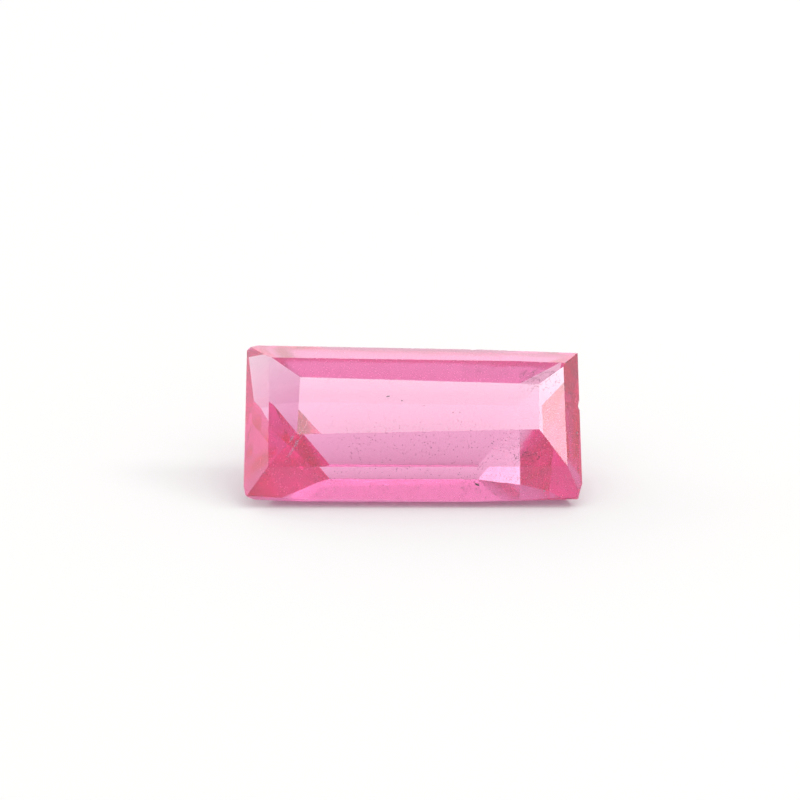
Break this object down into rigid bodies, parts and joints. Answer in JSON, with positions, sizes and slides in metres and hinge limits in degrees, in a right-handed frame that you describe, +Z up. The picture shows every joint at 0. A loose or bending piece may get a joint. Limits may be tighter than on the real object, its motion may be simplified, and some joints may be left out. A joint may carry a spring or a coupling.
{
  "type": "step-cut pink sapphire",
  "caption": "Loose step-cut pink sapphire with a rectangular table and crown steps, lying tilted on a flat pavilion facet, for setting in jewellery or display.",
  "frame": {"origin": "centre of the stone's footprint box, on the ground that it lies on", "axes": "+X along the stone's length, +Y away from the viewer towards the raised far side, +Z up from the ground"},
  "size_m": [0.008, 0.0034, 0.003],
  "materials": {
    "pink_sapphire": "clear, polished"
  },
  "bodies": {
    "root": {"pink_sapphire": "pink_sapphire"}
  },
  "joints": []
}
